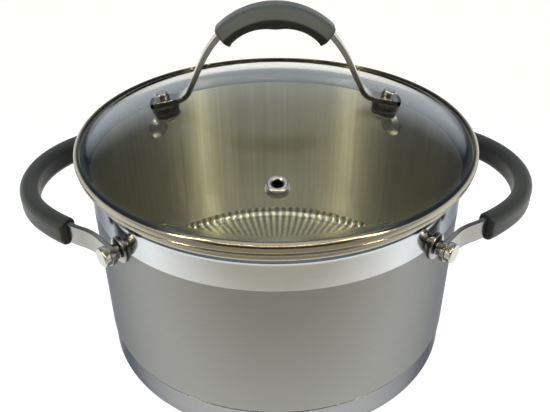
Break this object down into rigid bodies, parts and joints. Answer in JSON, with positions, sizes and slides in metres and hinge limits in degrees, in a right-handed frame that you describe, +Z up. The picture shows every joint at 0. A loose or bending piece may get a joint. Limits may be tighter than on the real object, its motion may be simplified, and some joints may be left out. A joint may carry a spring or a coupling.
{
  "type": "saucepan with glass lid",
  "caption": "Round two-handled stainless steel saucepan with a heat-spreading base, sleeved loop handles and a domed glass lid with a steel rim, steam vent and arched handle.",
  "frame": {"origin": "centre of the base's underside, on the surface the pot stands on", "axes": "+Z up; +X through the right side handle; +Y away from the steam vent, which is on the -Y side of the lid"},
  "size_m": [0.3304, 0.2496, 0.2275],
  "materials": {
    "brushed_stainless": "brushed round the wall, with a polished belt under the rim",
    "polished_stainless": "polished",
    "fastener_steel": "polished",
    "aluminium_plate": "plain, sealed inside the base",
    "silicone_sleeve": "matt moulded silicone",
    "silicone_seal": "matt silicone",
    "tempered_glass": "clear"
  },
  "bodies": {
    "pot": {"back_left_rivet": "fastener_steel", "back_left_spacer": "fastener_steel", "back_right_rivet": "fastener_steel", "back_right_spacer": "fastener_steel", "base_cap": "brushed_stainless", "base_core": "aluminium_plate", "front_left_rivet": "fastener_steel", "front_left_spacer": "fastener_steel", "front_right_rivet": "fastener_steel", "front_right_spacer": "fastener_steel", "left_handle_bar": "polished_stainless", "left_handle_grip": "silicone_sleeve", "pot_shell": "brushed_stainless", "right_handle_bar": "polished_stainless", "right_handle_grip": "silicone_sleeve"},
    "lid_rim": {"lid_rim_band": "polished_stainless"},
    "lid": {"lid_glass": "tempered_glass", "lid_handle_bar": "polished_stainless", "lid_handle_grip": "silicone_sleeve", "lid_left_cap_nut": "fastener_steel", "lid_left_clamp_washer": "fastener_steel", "lid_left_handle_screw": "fastener_steel", "lid_left_lower_seal": "silicone_seal", "lid_left_upper_seal": "silicone_seal", "lid_right_cap_nut": "fastener_steel", "lid_right_clamp_washer": "fastener_steel", "lid_right_handle_screw": "fastener_steel", "lid_right_lower_seal": "silicone_seal", "lid_right_upper_seal": "silicone_seal", "vent_eyelet": "fastener_steel", "vent_ring": "fastener_steel"}
  },
  "joints": [
    {"name": "lid_lift", "type": "slide", "parent": "pot", "child": "lid_rim", "axis": [0, 0, 1], "range_m": [0, 0.2]},
    {"name": "lid_turn", "type": "hinge", "parent": "lid_rim", "child": "lid", "pos_m": [0, 0, 0.1483], "axis": [0, 0, 1], "continuous": true}
  ]
}
